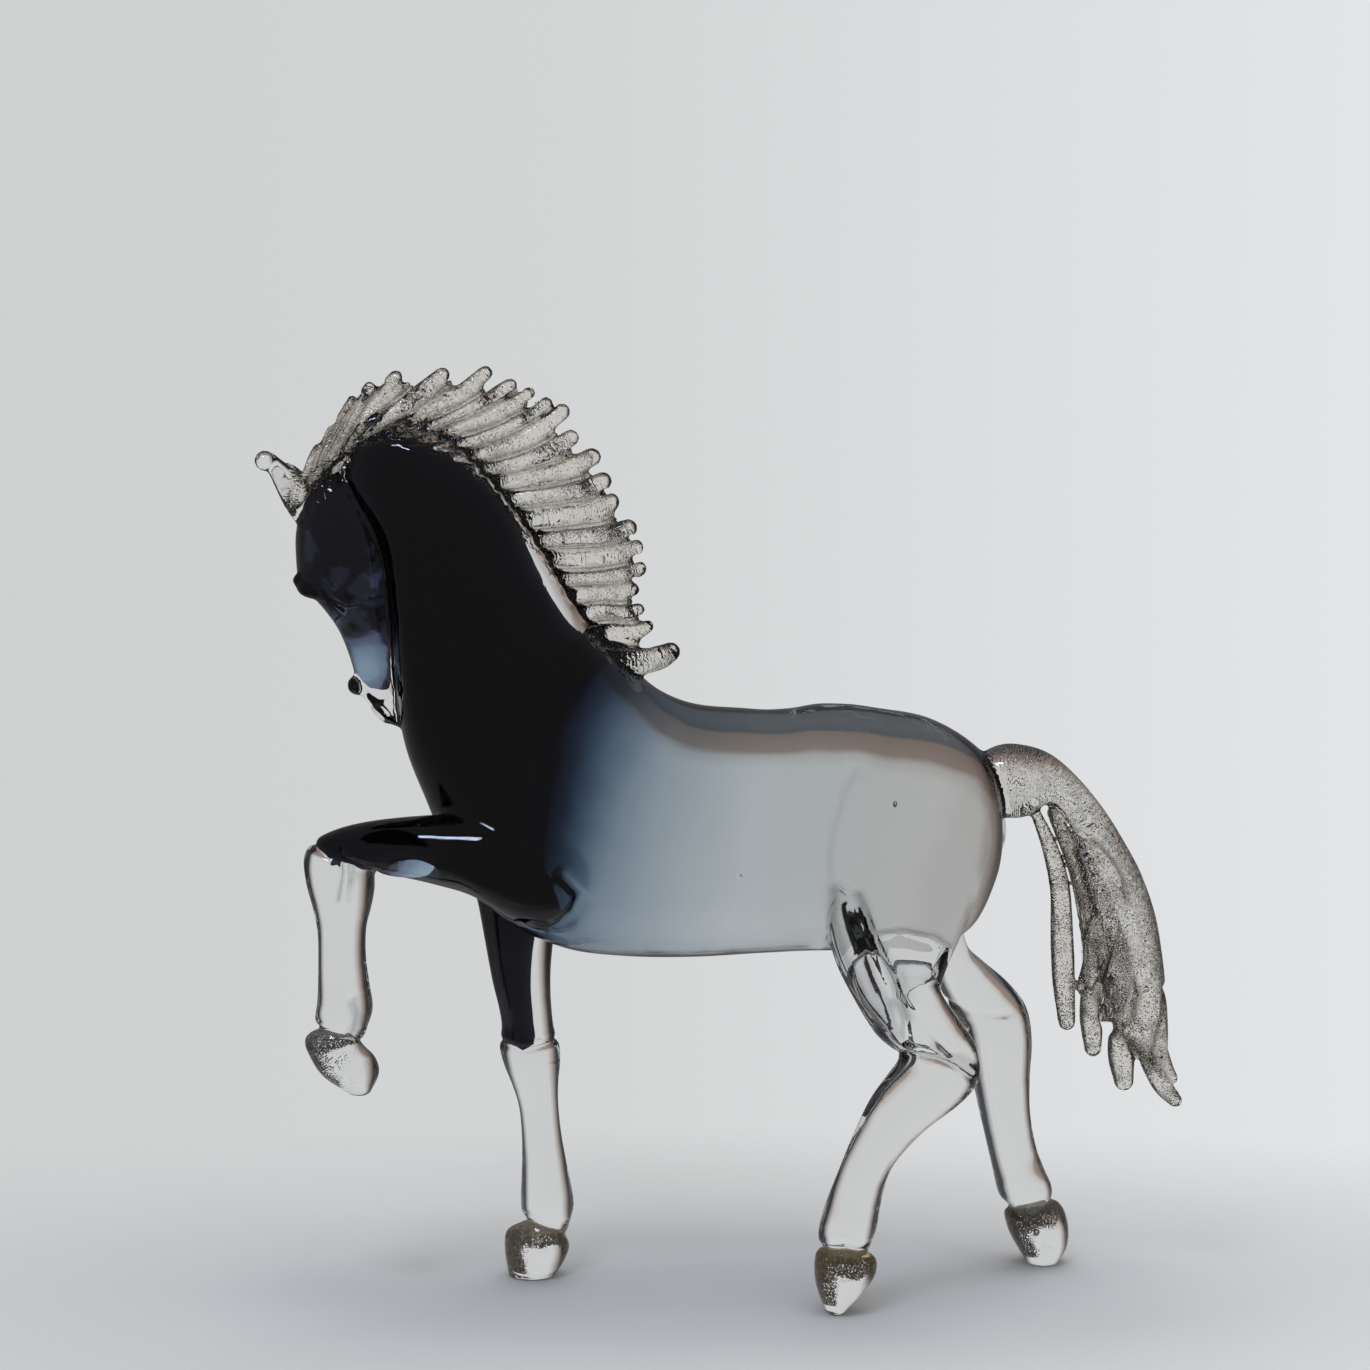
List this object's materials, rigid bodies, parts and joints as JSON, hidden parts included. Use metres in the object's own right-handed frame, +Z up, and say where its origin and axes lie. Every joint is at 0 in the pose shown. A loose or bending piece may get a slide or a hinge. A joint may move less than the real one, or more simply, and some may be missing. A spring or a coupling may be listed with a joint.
{
  "type": "glass horse figurine",
  "caption": "Solid hot-worked glass horse stepping with a raised foreleg, dark blue fading to clear, with pulled mane and tail locks.",
  "frame": {"origin": "on the ground, at the middle of the figure's bounding box seen from above", "axes": "-X is the way the horse faces, -Y is towards its left flank with the raised foreleg, +Z is up"},
  "size_m": [0.3476, 0.0812, 0.3502],
  "materials": {
    "glass": "fire-polished"
  },
  "bodies": {
    "root": {"glass_horse": "glass"}
  },
  "joints": []
}
